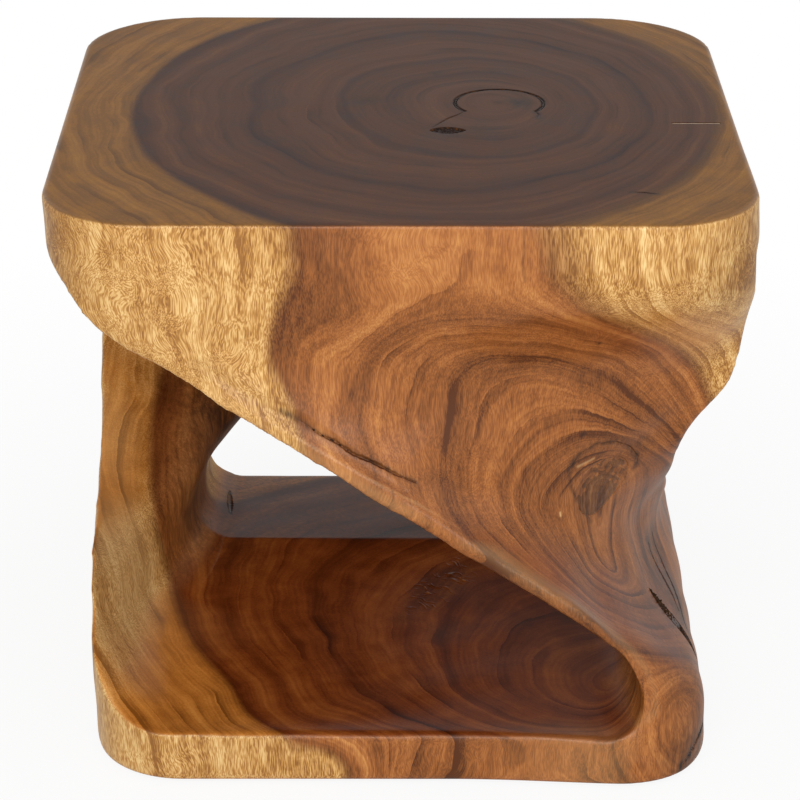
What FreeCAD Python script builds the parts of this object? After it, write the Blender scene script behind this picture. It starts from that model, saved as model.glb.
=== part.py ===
# Twisted side table, carved from one block of wood. Millimetres, +Z up, the front faces -Y.
# The origin is on the floor, under the middle of the table.
#
# A rounded square block is pierced by one passage that turns on its way down: under the top it runs from
# side to side, and over the base it runs from front to back. Two broad legs are left, the same shape half a
# turn apart. Each starts on one face of the block and ends on the next one round. A leg's inside swells
# into the passage, and its outside is hollowed between its two edges, so that it reads as a twisted ribbon.
import FreeCAD, Part

import math
import os

Vector = FreeCAD.Vector

# Driving dimensions: alias, value, what it is.
DIMENSIONS = [
    ("top_width", 508.0, "side of the square top"),
    ("base_width", 462.0, "side of the square base"),
    ("overall_height", 457.0, "floor to top"),
    ("side_belly", 2.5, "how far the sides stand out, at half height, past straight lines from base to top"),
    ("corner_radius", 76.0, "round of the top's two front corners"),
    ("base_corner_radius", 68.0, "round of the base's two front corners"),
    ("back_round", 16.0, "how much rounder the back corners are"),
    ("top_edge_round", 2.5, "round of the top's edge"),
    ("base_edge_round", 4.0, "round of the base's lower edge"),
    ("slab_thickness", 38.0, "wood left over the middle of the passage"),
    ("floor_thickness", 36.0, "wood left under the middle of the passage"),
    ("passage_tilt", 0.3, "how far the passage slopes down to the back, in degrees"),
    ("leg_inset", 19.0, "how far the line between a leg's inside edges lies in from the base's side"),
    ("leg_swell", 40.0, "how far a leg's inside stands out past that line, from half height up"),
    ("foot_swell", 20.0, "how far it stands out at the floor"),
    ("passage_round", 34.0, "round between a leg and the floor or the underside of the top"),
    ("apron_depth", 105.0, "depth under the top of a leg's edge where it leaves the block's round corner"),
    ("foot_band", 44.0, "wood beside the foot of a leg's edge, to the base's side"),
    ("foot_rise", 61.0, "height over the floor at which the straight edge would meet its foot"),
    ("foot_bend", 30.0, "softness of the bend there"),
    ("edge_band", 24.0, "flat band along a leg's edge, on the front and back"),
    ("side_band", 22.0, "flat band along a leg's edge, on the sides"),
    ("hollow_depth", 8.0, "how far a leg's outside dips between its edges"),
    ("hollow_start", 25.0, "depth under the top at which the hollow starts"),
    ("hollow_rise", 145.0, "height over which the hollow comes in, above"),
    ("hollow_fall", 120.0, "height over which it goes out, above the floor"),
    ("waist_inset", 34.0, "how far the right leg's waist is carved in from the side"),
    ("waist_height", 222.0, "height of that waist"),
    ("waist_rise", 110.0, "height over which it comes in, above"),
    ("waist_fall", 105.0, "height over which it goes out, below"),
    ("waist_foot", 22.0, "height over the floor at which it has gone out"),
    ("side_draw", 6.0, "how far the base's right side still draws in, from front to back"),
    ("pad_thickness", 3.0, "felt pads under the base"),
    ("pad_diameter", 28.0, "felt pads across"),
    ("pad_inset", 58.0, "from the base's sides to the pads' middles"),
    ("pith_x", 77.0, "the tree's middle on the top, to the right"),
    ("pith_y", 19.0, "the tree's middle on the top, to the back"),
    ("pith_hole_left", 41.0, "from the tree's middle to the hole beside it, to the left"),
    ("pith_hole_front", 67.0, "from the tree's middle to the hole beside it, to the front"),
    ("pith_hole_length", 26.0, "the hole at the pith, from end to end"),
    ("pith_hole_width", 14.0, "the hole at the pith, across"),
    ("shake_radius", 34.0, "round of the split along a growth ring"),
    ("shake_width", 1.8, "that split, across"),
    ("shake_from", -38.0, "where the split starts, in degrees from the right"),
    ("shake_sweep", 256.0, "how far round it goes, in degrees"),
    ("top_check_length", 36.0, "the straight split in the top"),
    ("top_check_width", 1.0, "that split, across"),
    ("top_check_edge", 12.0, "from the end of that split to the top's side"),
    ("top_check_front", 30.0, "from the top's middle to that split, to the front"),
    ("top_fill_depth", 10.0, "depth of the fillings in the top"),
    ("edge_check_length", 124.0, "the long split beside the front leg's edge"),
    ("edge_check_width", 5.0, "that split, across"),
    ("edge_check_height", 281.0, "height of its middle"),
    ("knot_inner", 40.0, "the knot across, at its inner end"),
    ("knot_outer", 60.0, "the knot across, just outside the wood"),
    ("knot_height", 212.0, "height of the knot's middle"),
    ("bark_length", 64.0, "the bark pocket on the right leg"),
    ("bark_width", 12.0, "that pocket, across"),
    ("bark_height", 88.0, "height of its middle"),
    ("void_length", 30.0, "the rough pocket at the base's right front corner"),
    ("void_width", 12.0, "that pocket, across"),
    ("void_height", 15.0, "height of its middle"),
    ("fill_depth", 12.0, "depth of the fillings and the knot in the legs"),
]

# How many sections the block, the passage's straight stretch and each of its rounds are drawn through.
BLOCK_STEPS = 22
PASSAGE_STEPS = 9
ROUND_STEPS = 4

# Where the legs' flaws lie: shares of the way along the leg's outside, from the front to the right side,
# and the angle in degrees at which each climbs.
EDGE_CHECK_SHARE, EDGE_CHECK_LEAN = 0.07, -33.0
KNOT_SHARE = 0.66
BARK_SHARE, BARK_LEAN = 0.345, 66.0
VOID_SHARE, VOID_LEAN = 0.14, 25.0

# How finely the leg's outside is followed to place them.
CURVE_POINTS = 400
NEARBY_POINTS = 4
SLOPE_STEP = 6.0

# How far the tools that cut the flaws start outside the wood.
CLEARANCE = 15.0

# Shares of the corner's round kept clear of a leg's ends, of a leg's straight run that its bend may take up,
# and of the block's half width by which the passage reaches past the wood.
CORNER_SPARE = 0.08
BEND_LIMIT = 0.93
OVERREACH = 0.1

# Share of a corner's tangent length at which a cubic curve follows a quarter circle.
QUARTER_CIRCLE = 0.5523


def smooth_step(share):
    share = min(1.0, max(0.0, share))
    return share ** 3 * (10.0 - 15.0 * share + 6.0 * share ** 2)


def soft_min(first, second, softness):
    return 0.5 * (first + second - math.hypot(first - second, softness))


def soft_max(first, second, softness):
    return -soft_min(-first, -second, softness)


def half_turn(point):
    # The same point on the other leg.
    return Vector(-point.x, -point.y, point.z)


class Carving:
    # Where the legs' edges and faces are at each height.

    def __init__(self, sheet):
        self.sheet = sheet
        self.bottom = sheet.pad_thickness
        self.top = sheet.overall_height
        self.floor = self.bottom + sheet.floor_thickness
        self.ceiling = self.top - sheet.slab_thickness
        self.reach = sheet.base_width / 2 - sheet.leg_inset

    def half_width(self, z):
        base = self.sheet.base_width / 2
        top = self.sheet.top_width / 2
        share = (z - self.bottom) / (self.top - self.bottom)
        return base + (top - base) * share + 4 * self.sheet.side_belly * share * (1 - share)

    def corner(self, z):
        # The round of the front corners.
        sheet = self.sheet
        share = (z - self.bottom) / (self.top - self.bottom)
        return sheet.base_corner_radius + (sheet.corner_radius - sheet.base_corner_radius) * share

    def edge_run(self, z):
        # A leg's edge runs straight down the front from the round corner at the left, and bends at its foot.
        foot = self.sheet.base_width / 2 - self.sheet.foot_band
        start = self.sheet.corner_radius - self.sheet.top_width / 2
        low = self.floor + self.sheet.foot_rise
        high = self.top - self.sheet.apron_depth
        straight = foot + (start - foot) * (z - low) / (high - low)
        return soft_min(straight, foot, self.sheet.foot_bend)

    def front_edge(self, z):
        # The edge keeps its slope where it starts, round the corner.
        half = self.half_width(z)
        radius = self.corner(z)
        run = self.edge_run(z)
        corner = radius - half
        round_angle = min(math.pi / 2, max(0, corner - run) / radius)
        x = max(run, corner) - radius * math.sin(round_angle)
        y = corner - radius * math.cos(round_angle)
        return Vector(x, y, z)

    def turn(self, z):
        # The passage's angle: 0 from side to side, a right angle from front to back.
        edge = self.front_edge(z)
        return math.atan2(edge.x, -edge.y) + math.acos(self.reach / math.hypot(edge.x, edge.y))

    def edge_y(self, z):
        # The same leg's other edge, on the right side.
        angle = self.turn(z)
        return (self.half_width(z) * math.sin(angle) - self.reach) / math.cos(angle)

    def swell(self, z):
        sheet = self.sheet
        share = smooth_step(2 * (z - self.floor) / (self.ceiling - self.floor))
        return sheet.foot_swell + (sheet.leg_swell - sheet.foot_swell) * share

    def hollow_share(self, z):
        above = smooth_step((self.top - self.sheet.hollow_start - z) / self.sheet.hollow_rise)
        below = smooth_step((z - self.floor) / self.sheet.hollow_fall)
        return above * below

    def waist(self, z):
        sheet = self.sheet
        above = smooth_step((sheet.waist_height + sheet.waist_rise - z) / sheet.waist_rise)
        below = smooth_step((z - self.floor - sheet.waist_foot) / sheet.waist_fall)
        return (sheet.side_draw + (sheet.waist_inset - sheet.side_draw) * below) * above

    def outside(self, z, inset, waist, rounder):
        # One leg's outside: its start on the front, its bend's two ends and middle, its end on the right.
        half = self.half_width(z) - inset
        radius = self.corner(z) + rounder - inset
        near = half - radius * (1 + CORNER_SPARE)
        far = near - self.sheet.back_round + 2 * rounder
        softness = self.sheet.edge_band
        start_x = self.edge_run(z) + self.sheet.edge_band
        end_y = self.edge_y(z) - self.sheet.side_band
        start = Vector(soft_min(soft_max(start_x, -near, softness), near, softness), -half, z)
        end = Vector(half - waist, soft_min(soft_max(end_y, -near, softness), far, softness), z)
        corner = Vector(half, -half, z)
        along = (end - start).normalize()
        nearest = start + along * (corner - start).dot(along)
        inward = (nearest - corner).normalize()
        share = self.hollow_share(z)
        bend = corner + (nearest - corner) * share + inward * (self.sheet.hollow_depth * share)
        run = min(radius, BEND_LIMIT * (start - bend).Length, BEND_LIMIT * (end - bend).Length)
        bend_start = bend + (start - bend).normalize() * run
        bend_end = bend + (end - bend).normalize() * run
        return start, bend_start, bend, bend_end, end


def bend_curve(start, middle, end):
    curve = Part.BezierCurve()
    lead = start + (middle - start) * QUARTER_CIRCLE
    trail = end + (middle - end) * QUARTER_CIRCLE
    curve.setPoles([start, lead, trail, end])
    return curve.toShape()


def line(start, end):
    return Part.LineSegment(start, end).toShape()


def outside_point(carving, z, share):
    # A point on the right leg's outside, at a share of the way from its front to its right side.
    start, bend_start, bend, bend_end, end = carving.outside(z, 0, carving.waist(z), 0)
    curve = Part.Wire([line(start, bend_start), bend_curve(bend_start, bend, bend_end), line(bend_end, end)])
    points = curve.discretize(CURVE_POINTS + 1)
    return points[round(share * CURVE_POINTS)]


def outside_place(carving, z, share, lean):
    # A place on the right leg's outside: its Z axis points out of the wood, its X axis along the flaw.
    nearby = NEARBY_POINTS / CURVE_POINTS
    level = outside_point(carving, z, share + nearby) - outside_point(carving, z, share - nearby)
    level.normalize()
    rise = outside_point(carving, z + SLOPE_STEP, share) - outside_point(carving, z - SLOPE_STEP, share)
    outward = level.cross(rise).normalize()
    climb = math.radians(lean)
    along = level * math.cos(climb) + outward.cross(level) * math.sin(climb)
    rotation = FreeCAD.Rotation(along, outward.cross(along), outward, "ZXY")
    return FreeCAD.Placement(outside_point(carving, z, share), rotation)


def block_section(carving, z, inset=0):
    # The block's outline, hollowed at two opposite corners and round at the other two. The right leg's waist
    # runs on to the round corner behind it.
    half = carving.half_width(z) - inset
    radius = carving.corner(z) - inset
    back_radius = radius + carving.sheet.back_round
    waist = carving.waist(z)
    left = Vector(-half, radius - half, z)
    corner = Vector(-half, -half, z)
    front = Vector(radius - half, -half, z)
    behind = Vector(half - waist, half - back_radius, z)
    back = Vector(half - back_radius, half, z)
    right_leg = carving.outside(z, inset, waist, 0)
    left_leg = [half_turn(point) for point in carving.outside(z, inset, 0, carving.sheet.back_round)]
    edges = []
    for first, middle, last, leg, following in (
            (left, corner, front, right_leg, behind),
            (behind, half_turn(corner), back, left_leg, left)):
        start, bend_start, bend, bend_end, end = leg
        edges.append(bend_curve(first, middle, last))
        edges.append(line(last, start))
        edges.append(line(start, bend_start))
        edges.append(bend_curve(bend_start, bend, bend_end))
        edges.append(line(bend_end, end))
        edges.append(line(end, following))
    return Part.Wire(edges)


def leg_inside(carving, z, inset, waist):
    # The start, middle and end of an arc along a leg's inside, run on past the wood at both ends.
    half = carving.half_width(z)
    limit = half - carving.corner(z) - carving.sheet.back_round
    first = carving.front_edge(z)
    second = Vector(half - waist, soft_min(carving.edge_y(z), limit, carving.sheet.edge_band), z)
    chord = (second - first).Length
    along = (second - first).normalize()
    outward = along.cross(Vector(0, 0, 1))
    swell = carving.swell(z)
    radius = (chord * chord / 4 + swell * swell) / (2 * swell)
    centre = (first + second) * 0.5 + outward * (radius - swell)
    sweep = math.asin(chord / (2 * radius)) + OVERREACH * half / radius
    radius += inset
    reach = along * (radius * math.sin(sweep))
    depth = outward * (radius * math.cos(sweep))
    return centre - reach - depth, centre - outward * radius, centre + reach - depth


def passage_section(carving, z, inset):
    # Between the legs: an arc along each leg's inside, closed round the two open corners of the block.
    # The inset draws the arcs together, where the legs round into the floor or the underside of the top.
    far = carving.half_width(z) * (1 + 2 * OVERREACH)
    far_corner = Vector(far, far, z)
    right_leg = leg_inside(carving, z, inset, carving.waist(z))
    left_leg = [half_turn(point) for point in leg_inside(carving, z, inset, 0)]
    edges = []
    for arc, corner, following in ((right_leg, far_corner, left_leg), (left_leg, half_turn(far_corner), right_leg)):
        edges.append(Part.Arc(*arc).toShape())
        edges.append(line(arc[2], corner))
        edges.append(line(corner, following[0]))
    return Part.Wire(edges)


def make_sheet(doc):
    sheet = doc.addObject("Spreadsheet::Sheet", "Dimensions")
    for row, (alias, value, note) in enumerate(DIMENSIONS, start=1):
        sheet.set(f"A{row}", note)
        sheet.set(f"B{row}", str(value))
        sheet.setAlias(f"B{row}", alias)
    doc.recompute()
    return sheet


def block_wires(carving):
    low = carving.bottom + carving.sheet.base_edge_round
    high = carving.top - carving.sheet.top_edge_round
    rise = (high - low) / BLOCK_STEPS
    return [block_section(carving, low + rise * step) for step in range(BLOCK_STEPS + 1)]


def rim_wires(carving, edge, radius):
    # The last stretch up or down to the block's rounded edge.
    wires = []
    for step in range(ROUND_STEPS + 1):
        angle = math.pi / 2 * step / ROUND_STEPS
        z = edge - math.copysign(radius, edge - carving.floor) * (1 - math.sin(angle))
        wires.append(block_section(carving, z, radius * (1 - math.cos(angle))))
    return wires


def passage_wires(carving):
    radius = carving.sheet.passage_round
    low_round = []
    high_round = []
    for step in range(ROUND_STEPS + 1):
        angle = math.pi / 2 * step / ROUND_STEPS
        rise = radius * (1 - math.cos(angle))
        inset = radius * (1 - math.sin(angle))
        low_round.append(passage_section(carving, carving.floor + rise, inset))
        high_round.append(passage_section(carving, carving.ceiling - rise, inset))
    low = carving.floor + radius
    rise = (carving.ceiling - radius - low) / PASSAGE_STEPS
    straight = [passage_section(carving, low + rise * step, 0) for step in range(1, PASSAGE_STEPS)]
    wires = low_round + straight + high_round[::-1]
    middle = Vector(0, 0, (carving.floor + carving.ceiling) / 2)
    for wire in wires:
        wire.rotate(middle, Vector(1, 0, 0), -carving.sheet.passage_tilt)
    return wires


def make_loft(doc, name, wires):
    sections = []
    for number, wire in enumerate(wires, start=1):
        feature = doc.addObject("Part::Feature", f"{name}Section{number}")
        feature.Shape = wire
        sections.append(feature)
    loft = doc.addObject("Part::Loft", name)
    loft.Sections = sections
    loft.Solid = True
    doc.recompute()
    return loft


def make_tool(doc, kind, name, place, sizes):
    # A cutting primitive, with its sizes tied to the sheet.
    tool = doc.addObject(kind, name)
    for property_name, expression in sizes.items():
        tool.setExpression(property_name, expression)
    tool.Placement = place
    return tool


def shifted(place, x, y, z):
    return place * FreeCAD.Placement(Vector(x, y, z), FreeCAD.Rotation())


def make_lens(doc, sheet, name, size, depth, place):
    # A pocket with two pointed ends: what two large cylinders have in common.
    length = sheet.get(f"{size}_length")
    width = sheet.get(f"{size}_width")
    radius = (length ** 2 + width ** 2) / (4 * width)
    cells = f"Dimensions.{size}_length", f"Dimensions.{size}_width"
    radius_formula = "({0}^2 + {1}^2) / (4 * {1})".format(*cells)
    sides = []
    for side, direction in (("Upper", 1), ("Lower", -1)):
        offset = direction * (radius - width / 2)
        side_place = shifted(place, 0, offset, -sheet.get(depth))
        sizes = {"Radius": radius_formula, "Height": f"Dimensions.{depth} + {CLEARANCE}"}
        sides.append(make_tool(doc, "Part::Cylinder", name + side, side_place, sizes))
    lens = doc.addObject("Part::Common", name)
    lens.Base, lens.Tool = sides
    return lens


def make_ring_split(doc, sheet, name, place):
    start = FreeCAD.Rotation(Vector(0, 0, 1), sheet.shake_from)
    low = shifted(place, 0, 0, -sheet.top_fill_depth) * FreeCAD.Placement(Vector(), start)
    height = f"Dimensions.top_fill_depth + {CLEARANCE}"
    outer = {"Radius": "Dimensions.shake_radius + Dimensions.shake_width / 2",
             "Angle": "Dimensions.shake_sweep", "Height": height}
    inner = {"Radius": "Dimensions.shake_radius - Dimensions.shake_width / 2", "Height": height}
    split = doc.addObject("Part::Cut", name)
    split.Base = make_tool(doc, "Part::Cylinder", name + "Outer", low, outer)
    split.Tool = make_tool(doc, "Part::Cylinder", name + "Inner", low, inner)
    return split


def make_top_check(doc, name):
    sizes = {"Length": "Dimensions.top_check_length", "Width": "Dimensions.top_check_width",
             "Height": f"Dimensions.top_fill_depth + {CLEARANCE}",
             "Placement.Base.x":
             "Dimensions.top_width / 2 - Dimensions.top_check_edge - Dimensions.top_check_length",
             "Placement.Base.y": "-Dimensions.top_check_front",
             "Placement.Base.z": "Dimensions.overall_height - Dimensions.top_fill_depth"}
    return make_tool(doc, "Part::Box", name, FreeCAD.Placement(), sizes)


def make_knot(doc, sheet, name, place):
    low = shifted(place, 0, 0, -sheet.fill_depth)
    sizes = {"Radius1": "Dimensions.knot_inner / 2", "Radius2": "Dimensions.knot_outer / 2",
             "Height": f"Dimensions.fill_depth + {CLEARANCE}"}
    return make_tool(doc, "Part::Cone", name, low, sizes)


def make_pads(doc):
    pads = []
    for front, y_sign in (("front", "-"), ("back", "")):
        for side, x_sign in (("left", "-"), ("right", "")):
            pad = doc.addObject("Part::Cylinder", f"Pad{front.title()}{side.title()}")
            pad.setExpression("Radius", "Dimensions.pad_diameter / 2")
            pad.setExpression("Height", "Dimensions.pad_thickness")
            place = "(Dimensions.base_width / 2 - Dimensions.pad_inset)"
            pad.setExpression("Placement.Base.x", x_sign + place)
            pad.setExpression("Placement.Base.y", y_sign + place)
            pad.Label = f"floor_pad_{front}_{side}"
            pads.append(pad)
    return pads


doc = FreeCAD.newDocument("TwistedSideTable")
sheet = make_sheet(doc)
carving = Carving(sheet)

block = make_loft(doc, "Block", block_wires(carving))
top_rim = make_loft(doc, "TopRim", rim_wires(carving, carving.top, sheet.top_edge_round))
base_rim = make_loft(doc, "BaseRim", rim_wires(carving, carving.bottom, sheet.base_edge_round))
whole = doc.addObject("Part::MultiFuse", "WholeBlock")
whole.Shapes = [block, top_rim, base_rim]
passage = make_loft(doc, "Passage", passage_wires(carving))
carved = doc.addObject("Part::Cut", "Carved")
carved.Base = whole
carved.Tool = passage
doc.recompute()

top_middle = FreeCAD.Placement(Vector(sheet.pith_x, sheet.pith_y, carving.top), FreeCAD.Rotation())
hole_place = top_middle * FreeCAD.Placement(Vector(-sheet.pith_hole_left, -sheet.pith_hole_front, 0),
                                            FreeCAD.Rotation())
tools = {
    "pith_fill": make_lens(doc, sheet, "PithHole", "pith_hole", "top_fill_depth", hole_place),
    "ring_shake_fill": make_ring_split(doc, sheet, "RingShake", top_middle),
    "top_check_fill": make_top_check(doc, "TopCheck"),
    "edge_check_fill": make_lens(
        doc, sheet, "EdgeCheck", "edge_check", "fill_depth",
        outside_place(carving, sheet.edge_check_height, EDGE_CHECK_SHARE, EDGE_CHECK_LEAN)),
    "encased_knot": make_knot(
        doc, sheet, "Knot", outside_place(carving, sheet.knot_height, KNOT_SHARE, 0)),
    "bark_pocket": make_lens(
        doc, sheet, "BarkPocket", "bark", "fill_depth",
        outside_place(carving, sheet.bark_height, BARK_SHARE, BARK_LEAN)),
    "foot_void_fill": make_lens(
        doc, sheet, "FootVoid", "void", "fill_depth",
        outside_place(carving, sheet.void_height, VOID_SHARE, VOID_LEAN)),
}
all_tools = doc.addObject("Part::MultiFuse", "AllFlaws")
all_tools.Shapes = list(tools.values())
body = doc.addObject("Part::Cut", "CarvedBody")
body.Base = carved
body.Tool = all_tools
body.Label = "carved_body"
subparts = [body]
for label, tool in tools.items():
    filling = doc.addObject("Part::Common", tool.Name + "Filling")
    filling.Base = carved
    filling.Tool = tool
    filling.Label = label
    subparts.append(filling)
subparts += make_pads(doc)
doc.recompute()

for item in doc.Objects:
    if "Invalid" in item.State or "Error" in item.State:
        raise RuntimeError(f"{item.Name} failed: {item.State}")
for subpart in subparts:
    shape = subpart.Shape
    if shape.isNull() or not shape.isValid() or len(shape.Solids) != 1:
        raise RuntimeError(f"{subpart.Label} is not one valid solid")
    print(subpart.Label, round(shape.Volume), "cubic mm")

os.makedirs("parts", exist_ok=True)
for subpart in subparts:
    subpart.Shape.exportStep(f"parts/{subpart.Label}.step")
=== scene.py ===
import math

import bmesh
import bpy
import numpy as np
from mathutils import Matrix, Vector, noise
from mathutils.bvhtree import BVHTree


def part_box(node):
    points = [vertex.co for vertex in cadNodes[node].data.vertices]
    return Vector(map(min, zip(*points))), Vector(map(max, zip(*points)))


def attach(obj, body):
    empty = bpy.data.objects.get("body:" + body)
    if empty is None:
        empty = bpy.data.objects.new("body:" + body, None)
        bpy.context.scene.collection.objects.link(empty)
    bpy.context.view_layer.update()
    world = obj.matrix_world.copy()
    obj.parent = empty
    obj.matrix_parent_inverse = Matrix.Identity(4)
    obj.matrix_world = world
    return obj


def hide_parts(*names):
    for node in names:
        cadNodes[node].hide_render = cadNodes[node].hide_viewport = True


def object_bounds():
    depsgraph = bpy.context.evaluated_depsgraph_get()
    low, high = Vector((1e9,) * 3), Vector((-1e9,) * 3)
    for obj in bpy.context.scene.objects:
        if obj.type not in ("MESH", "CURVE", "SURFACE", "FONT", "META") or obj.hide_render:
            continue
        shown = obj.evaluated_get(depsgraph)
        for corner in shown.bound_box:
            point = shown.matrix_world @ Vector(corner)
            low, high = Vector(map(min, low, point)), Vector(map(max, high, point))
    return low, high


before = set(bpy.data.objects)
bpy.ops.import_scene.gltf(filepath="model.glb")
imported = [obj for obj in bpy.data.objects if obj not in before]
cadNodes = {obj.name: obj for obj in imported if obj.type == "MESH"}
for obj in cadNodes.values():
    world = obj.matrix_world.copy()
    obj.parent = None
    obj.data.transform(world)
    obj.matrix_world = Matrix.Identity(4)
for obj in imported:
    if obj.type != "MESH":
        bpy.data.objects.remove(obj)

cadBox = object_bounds()
scene = bpy.context.scene
scene.view_settings.view_transform = "Standard"
mm = 0.001


def linear(code):
    parts = [int(code[k:k + 2], 16) / 255 for k in (1, 3, 5)]
    return [p / 12.92 if p <= 0.04045 else ((p + 0.055) / 1.055) ** 2.4 for p in parts] + [1.0]


def addNode(tree, kind, settings, inputs):
    node = tree.nodes.new("ShaderNode" + kind)
    for name, value in settings.items():
        if name == "stops":
            elements = node.color_ramp.elements
            elements.remove(elements[1])
            elements[0].position, elements[0].color = value[0][0], linear(value[0][1])
            for place, code in value[1:]:
                elements.new(place).color = linear(code)
        else:
            setattr(node, name, value)
    for name, value in inputs.items():
        if isinstance(value, bpy.types.NodeSocket):
            tree.links.new(value, node.inputs[name])
        else:
            node.inputs[name].default_value = value
    return node


def newMaterial(name):
    material = bpy.data.materials.new(name)
    material.use_nodes = True
    tree = material.node_tree
    return material, tree, tree.nodes["Principled BSDF"]


# lacquered monkeypod: soft growth bands round the pith, pale sapwood outside the heart, fine twisted fibre
trunk = {
    "top": round(cadBox[1][2] / mm, 1),
    # the heartwood's oval at the top, and how far it moves in x and y with each mm of depth
    "centre": (20.0, 9.0), "semiAxes": (225.0, 287.0), "lean": (0.13, -0.05),
    # the pith's place within the oval, as shares of its semi-axes, at the top and from the knot downward
    "pithHigh": (0.253, 0.035), "pithLow": (0.44, -0.5), "knotDrop": 245.0,
    # places where the rings swell outward: centre, reach, mm
    "swells": {
        "knot": ((152.0, -148.0, 212.0), 70.0, 8.0),
        "leftLeg": ((-200.0, 40.0, 110.0), 330.0, 27.0),
        "floorLeft": ((-100.0, -225.0, 45.0), 110.0, 14.0),
        "apronLeft": ((-95.0, -248.0, 370.0), 70.0, 9.0),
        "apronTop": ((-80.0, -253.0, 440.0), 75.0, 4.0),
        "baseFront": ((-45.0, -233.0, 10.0), 60.0, -22.0),
    },
    # mm: how far the rings stray and the size of each straying, then the widths of bands, streaks and lines
    "warp": 4.0, "warpSize": 120.0, "wander": 13.0, "wanderSize": 95.0, "feather": 0.9, "featherSize": 4.0,
    "ringSpacing": 17.0, "bandWidth": 27.0, "lineWidth": 1.7, "lineLength": 55.0, "lateFade": 60.0,
    "streakWidth": 0.75, "streakLength": 9.0, "swirl": 30.0, "swirlSize": 52.0, "swirlPatch": 130.0,
    "mottleSize": 16.0, "poreSize": 1.4,
    # mm past the oval where sapwood is pure and where heartwood is, at the left and right ends of edgeX
    "edgeX": (-30.0, 130.0), "pureSap": (2.0, 12.0), "pureHeart": (-5.0, -14.0),
    # a darker rim just within the oval, and heartwood that is darker toward the pith above the base
    "rim": (-26.0, -3.0), "rimDark": -0.12,
    "oldFrom": 120.0, "oldDark": (-0.1, -0.03), "oldHeight": (45.0, 120.0),
    # how far late wood and each pattern move the tone, on faces along the trunk and across it
    "late": {"sideSap": -0.6, "sideHeart": -0.8, "endSap": -0.6, "endHeart": -0.45},
    "tones": {
        "sideSap": {"band": 0.48, "streak": 0.42, "broad": 0.5, "lines": 0.18, "mottle": 0.3},
        "sideHeart": {"band": 0.6, "streak": 0.22, "broad": 0.36, "lines": 0.26, "mottle": 0.25},
        "endSap": {"band": 0.5, "lines": 0.2, "pore": 0.3, "mottle": 0.35},
        "endHeart": {"band": 0.6, "lines": 0.15, "pore": 0.25, "mottle": 0.4},
    },
    "sideHeart": ((0.0, "#532b10"), (0.3, "#7d4921"), (0.5, "#95592a"), (0.7, "#aa6b37"), (1.0, "#c4894b")),
    "sideSap": ((0.0, "#8f5e2b"), (0.3, "#bb8847"), (0.5, "#d1a466"), (0.7, "#e1bc7e"), (1.0, "#f1d7a3")),
    "stainAndShadeColour": "#1d1410", "wearAndHighlightColour": "#e2b981", "coatRoughness": 0.28, "relief": 0.12,
}
# two finishes: satin on the carved faces and glossier on the hollowed floor, hazy on the flat-sanded top;
# the end grain palettes are paler on the carved faces than on the top, painted light and shade toning the
# same wood for the shaded floor and the lit top
surfaces = {
    "carved": {"endHeart": ((0.0, "#3c1807"), (0.3, "#5c280d"), (0.5, "#733714"), (0.7, "#89491c"),
                            (1.0, "#a4622a")),
               "endSap": ((0.0, "#7d4717"), (0.3, "#a96627"), (0.5, "#c27b34"), (0.7, "#d49145"),
                          (1.0, "#e6b064")),
               "roughness": (0.3, 0.42), "endRoughness": (0.18, 0.26), "specular": 0.03},
    "top": {"endHeart": ((0.0, "#24110a"), (0.3, "#3b1e10"), (0.5, "#4a2813"), (0.7, "#56321a"),
                         (1.0, "#6b4426")),
            "endSap": ((0.0, "#603d15"), (0.3, "#7b511f"), (0.5, "#8e5f26"), (0.7, "#a06f33"),
                       (1.0, "#b78746")),
            "roughness": (0.4, 0.5), "endRoughness": (0.4, 0.5), "specular": 0.08},
}


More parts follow.
